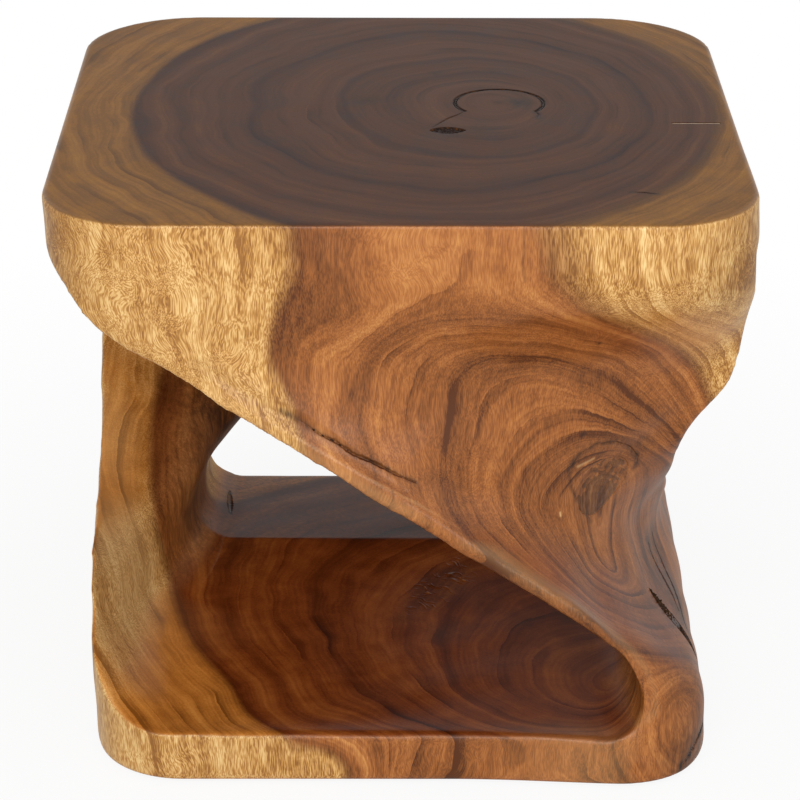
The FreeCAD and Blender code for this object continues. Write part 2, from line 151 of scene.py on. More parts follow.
def lacqueredWood(name, own, finish):
    material, tree, shader = newMaterial(name)
    place = addNode(tree, "TexCoord", {}, {}).outputs["Object"]
    point = addNode(tree, "VectorMath", {"operation": "SCALE"}, {0: place, "Scale": 1 / mm}).outputs[0]

    # the trunk isn't truly round: a slow wander, and a fine one that feathers the bands along the fibre
    slow = addNode(tree, "TexNoise", {}, {"Vector": point, "Scale": 1 / own["warpSize"], "Detail": 2.0})
    slow = addNode(tree, "VectorMath", {"operation": "SUBTRACT"},
                   {0: slow.outputs["Color"], 1: (0.5, 0.5, 0.5)})
    warped = addNode(tree, "VectorMath", {"operation": "MULTIPLY_ADD"},
                     {0: slow.outputs[0], 1: (2 * own["warp"],) * 3, 2: point}).outputs[0]
    thin = 1 / own["featherSize"]
    quick = addNode(tree, "VectorMath", {"operation": "MULTIPLY"}, {0: point, 1: (thin, thin, thin / 6)})
    quick = addNode(tree, "TexNoise", {}, {"Vector": quick.outputs[0], "Scale": 1.0, "Detail": 2.0})
    quick = addNode(tree, "VectorMath", {"operation": "SUBTRACT"},
                    {0: quick.outputs["Color"], 1: (0.5, 0.5, 0.5)})
    warped = addNode(tree, "VectorMath", {"operation": "MULTIPLY_ADD"},
                     {0: quick.outputs[0], 1: (2 * own["feather"],) * 3, 2: warped}).outputs[0]

    # ring coordinate: mm from the pith along x, level on ovals that draw in to the pith
    wide, long = own["semiAxes"]
    height = addNode(tree, "SeparateXYZ", {}, {0: warped}).outputs["Z"]
    drop = addNode(tree, "Math", {"operation": "SUBTRACT"}, {0: own["top"], 1: height}).outputs[0]
    deep = addNode(tree, "MapRange", {},
                   {"Value": drop, "From Min": 0.0, "From Max": own["knotDrop"]}).outputs[0]
    core = addNode(tree, "Mix", {"data_type": "VECTOR"},
                   {0: deep, 4: own["pithHigh"] + (0.0,), 5: own["pithLow"] + (0.0,)}).outputs[1]
    drift = addNode(tree, "VectorMath", {"operation": "SCALE"},
                    {0: (-own["lean"][0], -own["lean"][1], 0.0), "Scale": drop}).outputs[0]
    flat = addNode(tree, "VectorMath", {"operation": "ADD"}, {0: warped, 1: drift}).outputs[0]
    flat = addNode(tree, "VectorMath", {"operation": "SUBTRACT"},
                   {0: flat, 1: own["centre"] + (0.0,)}).outputs[0]
    flat = addNode(tree, "VectorMath", {"operation": "MULTIPLY"},
                   {0: flat, 1: (1 / wide, 1 / long, 0.0)}).outputs[0]
    flat = addNode(tree, "VectorMath", {"operation": "SUBTRACT"}, {0: flat, 1: core}).outputs[0]
    along = addNode(tree, "VectorMath", {"operation": "DOT_PRODUCT"}, {0: flat, 1: core}).outputs["Value"]
    off = addNode(tree, "VectorMath", {"operation": "DOT_PRODUCT"}, {0: core, 1: core}).outputs["Value"]
    off = addNode(tree, "Math", {"operation": "SUBTRACT"}, {0: 1.0, 1: off}).outputs[0]
    square = addNode(tree, "VectorMath", {"operation": "DOT_PRODUCT"}, {0: flat, 1: flat}).outputs["Value"]
    square = addNode(tree, "Math", {"operation": "MULTIPLY"}, {0: square, 1: off}).outputs[0]
    square = addNode(tree, "Math", {"operation": "MULTIPLY_ADD"}, {0: along, 1: along, 2: square}).outputs[0]
    root = addNode(tree, "Math", {"operation": "SQRT"}, {0: square}).outputs[0]
    ring = addNode(tree, "Math", {"operation": "ADD"}, {0: along, 1: root}).outputs[0]
    ring = addNode(tree, "Math", {"operation": "DIVIDE"}, {0: ring, 1: off}).outputs[0]
    ring = addNode(tree, "Math", {"operation": "MULTIPLY"}, {0: ring, 1: wide}).outputs[0]
    for middle, reach, outward in own["swells"].values():
        gap = addNode(tree, "VectorMath", {"operation": "DISTANCE"}, {0: point, 1: middle}).outputs["Value"]
        near = addNode(tree, "MapRange", {"interpolation_type": "SMOOTHERSTEP"},
                       {"Value": gap, "From Min": reach, "From Max": 0.0, "To Min": 0.0, "To Max": -outward})
        ring = addNode(tree, "Math", {"operation": "ADD"}, {0: ring, 1: near.outputs[0]}).outputs[0]

    stray = addNode(tree, "TexNoise", {},
                    {"Vector": point, "Scale": 1 / own["wanderSize"], "Detail": 2.0}).outputs[0]
    stray = addNode(tree, "MapRange", {"clamp": False},
                    {"Value": stray, "To Min": -own["wander"], "To Max": own["wander"]}).outputs[0]
    year = addNode(tree, "Math", {"operation": "ADD"}, {0: ring, 1: stray}).outputs[0]

    # broad soft bands, and thin late-wood lines that fade in and out
    band = addNode(tree, "TexNoise", {"noise_dimensions": "1D"},
                   {"W": year, "Scale": 1 / own["bandWidth"], "Detail": 2.5, "Roughness": 0.55}).outputs[0]
    band = addNode(tree, "MapRange", {}, {"Value": band, "From Min": 0.25, "From Max": 0.75}).outputs[0]
    turn = addNode(tree, "Math", {"operation": "DIVIDE"}, {0: year, 1: own["ringSpacing"]}).outputs[0]
    whole = addNode(tree, "Math", {"operation": "FLOOR"}, {0: turn}).outputs[0]
    season = addNode(tree, "Math", {"operation": "FRACT"}, {0: turn}).outputs[0]
    luck = addNode(tree, "TexWhiteNoise", {"noise_dimensions": "1D"}, {"W": whole}).outputs["Value"]
    late = addNode(tree, "Math", {"operation": "POWER"}, {0: season, 1: 3.0}).outputs[0]
    late = addNode(tree, "Math", {"operation": "MULTIPLY"}, {0: late, 1: luck}).outputs[0]
    fade = addNode(tree, "TexNoise", {},
                   {"Vector": point, "Scale": 1 / own["lateFade"], "Detail": 1.0}).outputs[0]
    fade = addNode(tree, "MapRange", {}, {"Value": fade, "From Min": 0.4, "From Max": 0.65}).outputs[0]
    late = addNode(tree, "Math", {"operation": "MULTIPLY"}, {0: late, 1: fade}).outputs[0]

    # interlocked fibre: short streaks along the trunk, swirled in patches
    patch = addNode(tree, "TexNoise", {},
                    {"Vector": point, "Scale": 1 / own["swirlPatch"], "Detail": 0.0}).outputs[0]
    patch = addNode(tree, "MapRange", {}, {"Value": patch, "From Min": 0.42, "From Max": 0.62,
                                           "To Min": 0.12, "To Max": 1.0}).outputs[0]
    bend = addNode(tree, "TexNoise", {}, {"Vector": point, "Scale": 1 / own["swirlSize"], "Detail": 1.5})
    bend = addNode(tree, "VectorMath", {"operation": "SUBTRACT"},
                   {0: bend.outputs["Color"], 1: (0.5, 0.5, 0.5)})
    bend = addNode(tree, "VectorMath", {"operation": "SCALE"},
                   {0: bend.outputs[0], "Scale": patch}).outputs[0]
    fibre = addNode(tree, "VectorMath", {"operation": "MULTIPLY_ADD"},
                    {0: bend, 1: (2 * own["swirl"],) * 3, 2: point}).outputs[0]
    fine = (1 / own["streakWidth"], 1 / own["streakWidth"], 1 / own["streakLength"])
    streak = addNode(tree, "VectorMath", {"operation": "MULTIPLY"}, {0: fibre, 1: fine}).outputs[0]
    streak = addNode(tree, "TexNoise", {}, {"Vector": streak, "Scale": 1.0, "Detail": 1.5}).outputs[0]
    streak = addNode(tree, "MapRange", {}, {"Value": streak, "From Min": 0.4, "From Max": 0.6}).outputs[0]
    broad = addNode(tree, "VectorMath", {"operation": "MULTIPLY"},
                    {0: fibre, 1: [f / 5 for f in fine]}).outputs[0]
    broad = addNode(tree, "TexNoise", {}, {"Vector": broad, "Scale": 1.0, "Detail": 2.0}).outputs[0]

    # fine lines that keep to the rings
    spread = addNode(tree, "VectorMath", {"operation": "SCALE"},
                     {0: point, "Scale": 1 / own["lineLength"]}).outputs[0]
    count = addNode(tree, "Math", {"operation": "DIVIDE"}, {0: year, 1: own["lineWidth"]}).outputs[0]
    lines = addNode(tree, "TexNoise", {"noise_dimensions": "4D"},
                    {"Vector": spread, "W": count, "Scale": 1.0, "Detail": 1.0}).outputs[0]
    lines = addNode(tree, "MapRange", {}, {"Value": lines, "From Min": 0.3, "From Max": 0.7}).outputs[0]

    mottle = addNode(tree, "TexNoise", {},
                     {"Vector": point, "Scale": 1 / own["mottleSize"], "Detail": 3.0}).outputs[0]
    pore = addNode(tree, "TexNoise", {},
                   {"Vector": point, "Scale": 1 / own["poreSize"], "Detail": 1.0}).outputs[0]

    # faces across the trunk show end grain, and the heart's edge is sharper at the left than at the right
    facing = addNode(tree, "NewGeometry", {}, {}).outputs["Normal"]
    facing = addNode(tree, "SeparateXYZ", {}, {0: facing}).outputs["Z"]
    facing = addNode(tree, "Math", {"operation": "ABSOLUTE"}, {0: facing}).outputs[0]
    ends = addNode(tree, "MapRange", {"interpolation_type": "SMOOTHSTEP"},
                   {"Value": facing, "From Min": 0.45, "From Max": 0.95}).outputs[0]
    aside = addNode(tree, "SeparateXYZ", {}, {0: point}).outputs["X"]
    edges = []
    for past in (own["pureSap"], own["pureHeart"]):
        edge = addNode(tree, "MapRange", {},
                       {"Value": aside, "From Min": own["edgeX"][0], "From Max": own["edgeX"][1],
                        "To Min": wide + past[0], "To Max": wide + past[1]})
        edges.append(edge.outputs[0])
    heart = addNode(tree, "MapRange", {"interpolation_type": "SMOOTHSTEP"},
                    {"Value": ring, "From Min": edges[0], "From Max": edges[1]}).outputs[0]
    rim = addNode(tree, "MapRange", {"interpolation_type": "SMOOTHSTEP"},
                  {"Value": ring, "From Min": wide + own["rim"][0],
                   "From Max": wide + own["rim"][1]}).outputs[0]
    old = addNode(tree, "MapRange", {},
                  {"Value": ring, "From Min": own["oldFrom"], "From Max": wide,
                   "To Min": own["oldDark"][0], "To Max": own["oldDark"][1]}).outputs[0]
    footing = addNode(tree, "MapRange", {}, {"Value": height, "From Min": own["oldHeight"][0],
                                             "From Max": own["oldHeight"][1]}).outputs[0]
    old = addNode(tree, "Math", {"operation": "MULTIPLY"}, {0: old, 1: footing}).outputs[0]

    patterns = {"band": band, "streak": streak, "broad": broad, "lines": lines,
                "mottle": mottle, "pore": pore}
    tones = {}
    for kind, shares in own["tones"].items():
        tone = addNode(tree, "Math", {"operation": "MULTIPLY_ADD"},
                       {0: late, 1: own["late"][kind], 2: 0.5 - sum(shares.values()) / 2}).outputs[0]
        tone = addNode(tree, "Math", {"operation": "MULTIPLY_ADD"},
                       {0: rim, 1: own["rimDark"], 2: tone}).outputs[0]
        if kind.startswith("side"):
            tone = addNode(tree, "Math", {"operation": "ADD"}, {0: old, 1: tone}).outputs[0]
        for pattern, share in shares.items():
            tone = addNode(tree, "Math", {"operation": "MULTIPLY_ADD"},
                           {0: patterns[pattern], 1: share, 2: tone}).outputs[0]
        tones[kind] = tone

    colours = {}
    for kind, palette in (("side", own), ("end", finish)):
        sap = addNode(tree, "ValToRGB", {"stops": palette[kind + "Sap"]},
                      {0: tones[kind + "Sap"]}).outputs[0]
        core = addNode(tree, "ValToRGB", {"stops": palette[kind + "Heart"]},
                       {0: tones[kind + "Heart"]}).outputs[0]
        colours[kind] = addNode(tree, "Mix", {"data_type": "RGBA"}, {0: heart, 6: sap, 7: core}).outputs[2]
    colour = addNode(tree, "Mix", {"data_type": "RGBA"},
                     {0: ends, 6: colours["side"], 7: colours["end"]}).outputs[2]

    # the attribute read here darkens where it is above nothing, with stains and painted shade, and pales
    # where it is below, with wear and painted highlights
    stain = addNode(tree, "Attribute", {"attribute_name": "stain"}, {}).outputs["Fac"]
    ragged = addNode(tree, "MapRange", {}, {"Value": broad, "From Min": 0.3, "From Max": 0.7,
                                            "To Min": 1.35, "To Max": 0.65}).outputs[0]
    worn = addNode(tree, "Math", {"operation": "MULTIPLY", "use_clamp": True},
                   {0: stain, 1: -1.0}).outputs[0]
    stain = addNode(tree, "Math", {"operation": "MULTIPLY", "use_clamp": True},
                    {0: stain, 1: ragged}).outputs[0]
    for amount, code in ((stain, own["stainAndShadeColour"]), (worn, own["wearAndHighlightColour"])):
        colour = addNode(tree, "Mix", {"data_type": "RGBA"},
                         {0: amount, 6: colour, 7: linear(code)}).outputs[2]

    # lacquer: rougher along the trunk than across it, with a clear coat where it was rubbed up
    polish = addNode(tree, "Attribute", {"attribute_name": "polish"}, {}).outputs["Fac"]
    sheens = []
    for low, high in (finish["roughness"], finish["endRoughness"]):
        sheen = addNode(tree, "MapRange", {}, {"Value": mottle, "To Min": low, "To Max": high})
        sheens.append(sheen.outputs[0])
    gloss = addNode(tree, "Mix", {"data_type": "FLOAT"}, {0: ends, 2: sheens[0], 3: sheens[1]}).outputs[0]
    relief = addNode(tree, "Mix", {"data_type": "FLOAT"}, {0: ends, 2: streak, 3: pore}).outputs[0]
    bump = addNode(tree, "Bump", {},
                   {"Height": relief, "Strength": 0.3, "Distance": own["relief"] * mm}).outputs[0]
    tree.links.new(colour, shader.inputs["Base Color"])
    tree.links.new(gloss, shader.inputs["Roughness"])
    tree.links.new(bump, shader.inputs["Normal"])
    tree.links.new(polish, shader.inputs["Coat Weight"])
    shader.inputs["Coat Roughness"].default_value = own["coatRoughness"]
    shader.inputs["Specular IOR Level"].default_value = finish["specular"]
    return material


def simple(name, colours, size, roughness, grain, specular=0.12):
    material, tree, shader = newMaterial(name)
    place = addNode(tree, "TexCoord", {}, {}).outputs["Object"]
    speck = addNode(tree, "TexNoise", {},
                    {"Vector": place, "Scale": 1 / (size * mm), "Detail": 4.0, "Roughness": 0.7})
    colour = addNode(tree, "ValToRGB", {"stops": colours}, {0: speck.outputs[0]})
    bump = addNode(tree, "Bump", {}, {"Height": speck.outputs[0], "Strength": 0.8, "Distance": grain * mm})
    tree.links.new(colour.outputs[0], shader.inputs["Base Color"])
    tree.links.new(bump.outputs[0], shader.inputs["Normal"])
    shader.inputs["Roughness"].default_value = roughness
    shader.inputs["Specular IOR Level"].default_value = specular
    return material


# dark resin filler: near black with reddish fibres, a dull sheen
darkFiller = simple("dark_resin_filler_satin", ((0.3, "#120b08"), (0.6, "#2a1810"), (0.8, "#4a2a18")),
                    size=2.0, roughness=0.4, grain=0.5)
# pale wax: greyish beige with a soft sheen
paleWax = simple("pale_filling_wax_soft_sheen", ((0.3, "#a3907a"), (0.7, "#b9a68f")),
                 size=1.5, roughness=0.45, grain=0.05)
# bark left in the wood: black-brown and crumbly
bark = simple("inner_bark_dull", ((0.3, "#120b07"), (0.55, "#33200f"), (0.8, "#5b3c20")),
              size=2.5, roughness=0.75, grain=0.8)
# felt: brown pressed fibre
felt = simple("pressed_brown_felt_matt", ((0.3, "#4a3c30"), (0.7, "#6d5a48")),
              size=0.6, roughness=0.95, grain=0.3)
woods = [lacqueredWood("lacquered_monkeypod_" + name, trunk, finish) for name, finish in surfaces.items()]
# dead knot: branch wood under the same lacquer, darker than the leg round it
knotHeart = ((0.0, "#3c210c"), (0.3, "#5f381c"), (0.5, "#734726"), (0.7, "#865833"), (1.0, "#a37246"))
knotTrunk = dict(trunk, sideHeart=knotHeart)
knotMaterial = lacqueredWood("dead_knot_lacquered", knotTrunk, surfaces["carved"])
print("materials made")


# body: one soft hand-carved mesh from the CAD body and what fills its flaws
# x, y and z hold ranges in mm over which a form sets in, from nothing to all of it
form = {
    # mesh size, smoothing and how much of it each height takes: (z, share)
    "voxel": 1.9, "passes": 34,
    "soft": ((3, 0.5), (10, 0.8), (30, 1.0), (400, 1.0), (440, 0.5), (452, 0.15)),
    # places worn round, with centre, reach and passes: the legs' narrowest places, the floor's front lip,
    # and on the side away from the front the left leg's shoulder, its foot and the right foot's rim
    "worn": {
        "waist": ((207.0, -70.0, 190.0), (40.0, 75.0, 60.0), 120),
        "lip": ((-15.0, -250.0, 42.0), (250.0, 40.0, 26.0), 45),
        "shoulder": ((-242.0, 150.0, 310.0), (62.0, 125.0, 95.0), 420),
        "waistBack": ((-207.0, 70.0, 190.0), (45.0, 90.0, 80.0), 160),
        "footBack": ((-238.0, 205.0, 130.0), (62.0, 70.0, 80.0), 160),
        "rimBack": ((238.0, 160.0, 75.0), (60.0, 120.0, 62.0), 120),
    },
    # the same once the forms below are carved
    "wornLast": {
        "rimFront": ((-236.0, -140.0, 100.0), (45.0, 75.0, 62.0), 80),
        "shoulderLast": ((-242.0, 150.0, 325.0), (50.0, 80.0, 60.0), 120),
    },
    # the rim of the left foot climbs from the floor's lip to the leg: (y, rise), more toward the outside
    "rim": {"climb": ((-236, 0), (-222, 10), (-205, 33), (-184, 46), (-150, 46), (-112, 33), (-60, 14),
                      (0, 0)),
            "blur": (-16, -8, 0, 8, 16), "edge": -165.0, "reach": 67.0, "most": 1.05, "bend": 1.6,
            "z": ((4, 36), (260, 110))},
    # the front and back scoops of the floor meet on a low ridge, and the front one turns up to a lip
    "ridge": {"place": 71.0, "rise": 20.0, "fade": 72.0, "back": (235.0, 5.0),
              "x": ((200, 120),), "z": ((10, 36), (220, 80))},
    "lip": {"front": -254.0, "rise": 12.0, "fade": 24.0},
    # fullness of the outline, in mm toward +x, at a height with its spread
    "fullness": {
        "apronRight": {"out": 6.5, "height": (388, 42), "x": ((120, 215),), "y": ((-60, -160),)},
        "apronLeft": {"out": -6.0, "height": (376, 14), "x": ((-150, -215),), "y": ((-60, -160),)},
        "waistLow": {"out": -4.0, "height": (115, 25), "x": ((170, 205),)},
        "waistHigh": {"out": 2.5, "height": (200, 22), "x": ((150, 200),)},
    },
    # the right foot's front corner stands forward and aside
    "footForward": {"out": 8.0, "x": ((40, 200),), "y": ((-140, -220),), "z": ((110, 30),)},
    "footAside": {"out": 5.0, "x": ((150, 215),), "y": ((-120, -200),), "z": ((60, 10),)},
    # the left leg's shoulder below the apron's back end is full: (z, mm)
    "shoulder": {"full": ((274, 0), (282, 5), (294, 19), (306, 27), (318, 28), (330, 29), (342, 13),
                          (352, 4), (362, 0)),
                 "blur": (-6, 0, 6), "x": ((-158, -205),), "y": ((60, 120),)},
    # the left leg's inner wall is thicker toward the floor: (z, mm), on faces that look or lie inward
    "innerWall": {"thick": ((40, 17), (130, 16), (190, 9), (260, 0)), "inward": (-0.3, 0.4),
                  "x": ((-30, -150),), "y": ((-40, 50),),
                  "outside": {"x": ((-243, -200),)}, "deep": {"x": ((-170, -140),)}},
    # the right leg rounds over to its outer face
    "roll": {"centre": (212.0, 0.0, 145.0), "reach": 60.0, "out": 8.0, "outward": (0.0, 0.5)},
    # slow tool undulation of the carved faces, less of it on the floor
    "seed": 7, "wave": {"height": 0.35, "sizes": (34.0, 75.0), "count": 14, "z": ((455, 440), (3, 12))},
    "calmFloor": {"share": 0.75, "upward": (0.6, 0.9), "z": ((110, 60),)},
}
fills = ("pith_fill", "ring_shake_fill", "top_check_fill", "edge_check_fill", "encased_knot", "bark_pocket",
         "foot_void_fill")
rng = np.random.default_rng(form["seed"])


def settle(piece):
    graph = bpy.context.evaluated_depsgraph_get()
    mesh = bpy.data.meshes.new_from_object(piece.evaluated_get(graph))
    piece.modifiers.clear()
    piece.data = mesh


def readPoints(mesh, what="co"):
    values = np.empty(len(mesh.vertices) * 3)
    mesh.vertices.foreach_get(what, values)
    return values.reshape(-1, 3) / (mm if what == "co" else 1)


def writePoints(mesh, points):
    mesh.vertices.foreach_set("co", (points * mm).ravel())
    mesh.update()


def ease(low, high, value):
    share = np.clip((value - low) / (high - low), 0, 1)
    return share * share * (3 - 2 * share)


def zone(own, points):
    share = 1.0
    for axis, value in zip("xyz", points.T):
        for low, high in own.get(axis, ()):
            share = share * ease(low, high, value)
    return share


def curve(pairs, value, blur=(0,)):
    places, heights = zip(*pairs)
    return sum(np.interp(value + step, places, heights) for step in blur) / len(blur)


def ripples(points, count, sizes):
    total = np.zeros(len(points))
    for turn in range(count):
        way = rng.normal(size=3)
        way *= 2 * np.pi / rng.uniform(*sizes) / np.linalg.norm(way)
        total += np.sin(points @ way + rng.uniform(0, 2 * np.pi))
    return total * np.sqrt(2 / count)


def remeshed(name, sources, voxel):
    joined = bmesh.new()
    for source in sources:
        joined.from_mesh(cadNodes[source].data)
    mesh = bpy.data.meshes.new(name)
    joined.to_mesh(mesh)
    joined.free()
    piece = bpy.data.objects.new(name, mesh)
    scene.collection.objects.link(piece)
    remesh = piece.modifiers.new("remesh", "REMESH")
    remesh.mode = "VOXEL"
    remesh.voxel_size = voxel * mm
    settle(piece)
    return piece


def smoothed(piece, name, weights, passes, levels=20):
    group = piece.vertex_groups.new(name=name)
    weights = np.round(weights * levels).astype(int)
    for level in range(1, levels + 1):
        group.add(np.flatnonzero(weights == level).tolist(), level / levels, "REPLACE")
    smooth = piece.modifiers.new(name, "SMOOTH")
    smooth.factor = 0.5
    smooth.iterations = passes
    smooth.vertex_group = name
    settle(piece)


def wearRound(piece, places):
    for name, (middle, reach, passes) in places.items():
        apart = np.linalg.norm((readPoints(piece.data) - middle) / reach, axis=1)
        smoothed(piece, name, ease(1.0, 0.35, apart), passes)


body = remeshed("carved_wood", ("carved_body",) + fills, form["voxel"])
smoothed(body, "soft", curve(form["soft"], readPoints(body.data)[:, 2]), form["passes"])
wearRound(body, form["worn"])
print("body remeshed to", len(body.data.vertices), "points")

# x, y and z follow the points as the forms below move them
points = readPoints(body.data)
x, y, z = points.T
lookX = readPoints(body.data, "normal")[:, 0]
rim, ridge, lip = form["rim"], form["ridge"], form["lip"]
inward = np.clip((rim["edge"] - x) / rim["reach"], 0, rim["most"]) ** rim["bend"]
rise = curve(rim["climb"], y, rim["blur"]) * inward * zone(rim, points)
floorRise = np.minimum(ridge["rise"] * np.exp(np.minimum(y - ridge["place"], 0) / ridge["fade"]),
                       curve(((ridge["place"], ridge["rise"]), ridge["back"]), y))
floorRise += lip["rise"] * np.exp(-np.maximum(y - lip["front"], 0) / lip["fade"])
points[:, 2] += rise + floorRise * zone(ridge, points)
for own in form["fullness"].values():
    level, spread = own["height"]
    points[:, 0] += own["out"] * np.exp(-((z - level) / spread) ** 2) * zone(own, points)
points[:, 1] -= form["footForward"]["out"] * zone(form["footForward"], points)
points[:, 0] += form["footAside"]["out"] * zone(form["footAside"], points)
wall, shoulder, roll = form["innerWall"], form["shoulder"], form["roll"]
facing = ease(*wall["inward"], lookX)
inner = facing * zone(wall["outside"], points) + (1 - facing) * zone(wall["deep"], points)
points[:, 0] -= curve(shoulder["full"], z, shoulder["blur"]) * zone(shoulder, points)
points[:, 0] += curve(wall["thick"], z) * np.minimum(inner, 1) * zone(wall, points)
apart = np.linalg.norm(points - roll["centre"], axis=1) / roll["reach"]
points[:, 0] += roll["out"] * np.exp(-apart ** 2) * ease(*roll["outward"], lookX)
writePoints(body.data, points)
wearRound(body, form["wornLast"])

points = readPoints(body.data)
normals = readPoints(body.data, "normal")
wave, calm = form["wave"], form["calmFloor"]
swell = wave["height"] * ripples(points, wave["count"], wave["sizes"]) * zone(wave, points)
swell *= 1 - calm["share"] * ease(*calm["upward"], normals[:, 2]) * zone(calm, points)
writePoints(body.data, points + normals * swell[:, None])
print("body carved")

# flaws: cracks and torn spots cut into the wood, with the stain round them; along the front leg's rim,
# painted shade and painted highlights width and depth are at the middle of the path, then its darkness from
# stain and painted shade (below nothing: paleness from wear and painted highlights), halo its reach
topLevel = trunk["top"]
flaws = {
    "edgeCheck": {"path": ((-84, -245, 314), (-71, -244, 306), (-56, -242, 294), (-46, -240, 288),
                           (-34, -239, 278), (-20, -236, 270), (-4, -233, 259), (10, -231, 252)),
                  "width": 1.7, "depth": 3.2, "stain": 0.55, "halo": 2.6},
    # the hollow of the front leg stops short of its edge and leaves a rim, and the hollow above the rim is
    # darkened with painted shade
    "rimHollow": {"path": ((-140, -250, 350), (-107, -249, 326), (-65, -248, 299), (-30, -247, 276),
                           (6, -246, 252)),
                  "width": 9.0, "depth": 2.0, "stain": 0.12, "halo": 10.0, "broad": True},
    "shakeTail": {"path": ((50, -2, topLevel), (45, -10, topLevel), (37, -19, topLevel), (31, -30, topLevel),
                           (25, -41, topLevel)),
                  "width": 0.9, "depth": 0.7, "stain": 0.5, "halo": 2.2},
    "shakeEnd": {"path": ((104, -2, topLevel), (106, -10, topLevel), (105, -18, topLevel)),
                 "width": 0.9, "depth": 0.6, "stain": 0.7, "halo": 3.5},
    "apronHairline": {"path": ((84, -254, 456), (85, -254, 440), (84, -254, 428), (86, -253, 415)),
                      "width": 0.6, "depth": 0.5, "stain": 0.3, "halo": 1.0},
    "topCheckLine": {"path": ((164, -185, topLevel), (172, -186, topLevel), (181, -189, topLevel)),
                     "width": 0.8, "depth": 0.5, "stain": 0.7, "halo": 2.5},
    "barkLineLeft": {"path": ((199, -57, 118), (204, -66, 107), (209, -75, 99), (214, -90, 89),
                              (219, -105, 82)),
                     "width": 1.6, "depth": 1.2, "stain": 0.7, "halo": 9.0},
    "barkLineRight": {"path": ((205, -38, 118), (213, -50, 104), (220, -70, 92), (224, -95, 82),
                               (227, -120, 76)),
                      "width": 1.4, "depth": 1.0, "stain": 0.7, "halo": 8.0},
    "footCrack": {"path": ((229, -185, 32), (225, -194, 29), (219, -203, 24), (213, -210, 18),
                           (207, -215, 11)),
                  "width": 2.0, "depth": 2.2, "stain": 0.85, "halo": 8.0},
    "knotTop": {"path": ((124, -172, 236), (132, -172, 248), (145, -168, 254), (160, -160, 252),
                         (172, -150, 243), (180, -140, 230), (180, -134, 218)),
                "width": 1.0, "depth": 0.7, "stain": 0.6, "halo": 3.0},
    "knotSide": {"path": ((124, -172, 236), (124, -166, 222), (127, -160, 208), (133, -154, 194),
                          (140, -150, 182)),
                 "width": 0.9, "depth": 0.5, "stain": 0.45, "halo": 2.2},
    # the arris above the rim carries a painted highlight, a thin pale line, and the rim strip below it is a
    # little paler with painted light
    "arris": {"path": ((-134, -250, 336), (-99, -249, 311), (-74, -248, 294), (-50, -247, 279),
                       (-21, -246, 261), (15, -242, 239), (43, -239, 219)),
              "width": 1.0, "depth": 0.0, "stain": -0.24, "halo": 1.5, "broad": True},
    "rimStrip": {"path": ((-134, -250, 329), (-99, -249, 304), (-74, -248, 287), (-50, -247, 272),
                          (-21, -246, 252), (15, -244, 229), (43, -242, 210), (73, -238, 197),
                          (102, -237, 174), (130, -234, 152), (150, -230, 134), (170, -225, 115),
                          (183, -225, 99), (190, -227, 80), (190, -229, 65), (180, -233, 56)),
                 "width": 1.0, "depth": 0.0, "stain": -0.17, "halo": 7.0, "broad": True},
    "knotChip": {"path": ((133, -170, 236), (139, -165, 238), (144, -163, 240)),
                 "width": 1.6, "depth": 0.5, "stain": -0.42, "halo": 1.7},
    "hollowChip": {"path": ((120, -178, 202), (120, -178, 200)),
                   "width": 0.8, "depth": 0.3, "stain": -0.7, "halo": 1.2},
    "floorNotch": {"path": ((-149, 176, 44), (-147, 150, 46), (-145, 125, 49)),
                   "width": 3.0, "depth": 1.6, "stain": 0.8, "halo": 5.0},
}
# loose darker and paler spots with no crack, stains and wear, and on the legs also painted shade and painted
# light: centre, reach, darkness
stainsWearAndPaintedLight = {
    "top": (((38, -48, topLevel), 17, 0.35), ((92, 20, topLevel), 12, 0.75), ((77, 19, topLevel), 26, 0.16),
            ((-25, 25, topLevel), 14, 0.45), ((60, -42, topLevel), 14, 0.4), ((-12, 8, topLevel), 10, 0.2),
            ((30, 95, topLevel), 6, 0.4), ((75, 100, topLevel), 6, 0.35)),
    "apron": (((142, -211, 352), 2.0, 0.8), ((36, -241, 222), 30, 0.16), ((-190, -247, 362), 45, 0.09),
              ((238, -225, 405), 45, 0.27)),
    "knot": (((150, -150, 214), 30, 0.28), ((196, -95, 175), 16, 0.22), ((180, -145, 246), 12, 0.35),
             ((135, -177, 266), 2.2, 0.8)),
    "bark": (((212, -90, 94), 32, 0.55),),
    # right foot: dark round its crack and void, and the last two broad spots are painted shade over the
    # lower right leg
    "rightFoot": (((212, -205, 22), 32, 0.6), ((222, -190, 45), 18, 0.3), ((206, -211, 10), 17, 0.8),
                  ((197, -223, 21), 12, 0.55), ((181, -230, 20), 9, 0.3), ((185, -150, 95), 70, 0.24),
                  ((205, -185, 75), 45, 0.34)),
    "floor": (((40, -60, 39), 16, 0.25), ((5, -45, 42), 12, 0.3)),
    # left leg: the first three spots are painted shade on its inner face, the last two painted light on its
    # front and outer face
    "leftLeg": (((-152, 84, 158), 60, 0.62), ((-158, 62, 95), 55, 0.6), ((-174, 55, 125), 60, 0.5),
                ((-230, 25, 165), 60, -0.26), ((-226, -50, 105), 65, -0.3)),
    "base": (((-141, -245, 26), 80, 0.07), ((150, -250, 20), 55, -0.13)),
}
# the floor behind its ridge is darker: painted shade
floorShade = {"dark": 0.5, "upward": (0.7, 0.9), "y": ((62, 82),), "z": ((90, 70), (15, 25))}
# a crack's ends narrow, and its edges are ragged
crack = {"least": 0.2, "bend": 0.6, "ragged": 0.35, "waves": (37, 91)}
# the mesh is made finer past a flaw's width, and a path is followed in steps of so many mm
refine = {"rounds": 2, "past": 3.0, "margin": 9.0, "step": 0.4}
# how deep the wood is sunk over each filling, and how dark its walls are
beds = {"pith_fill": (2.2, 0.9), "ring_shake_fill": (1.3, 0.9), "top_check_fill": (0.7, 0.25),
        "encased_knot": (0.35, 0.25), "bark_pocket": (1.4, 0.9), "foot_void_fill": (2.2, 0.9)}
bedEdge = {"sunk": (0.7, 0.25), "dark": (2.2, 0.4)}
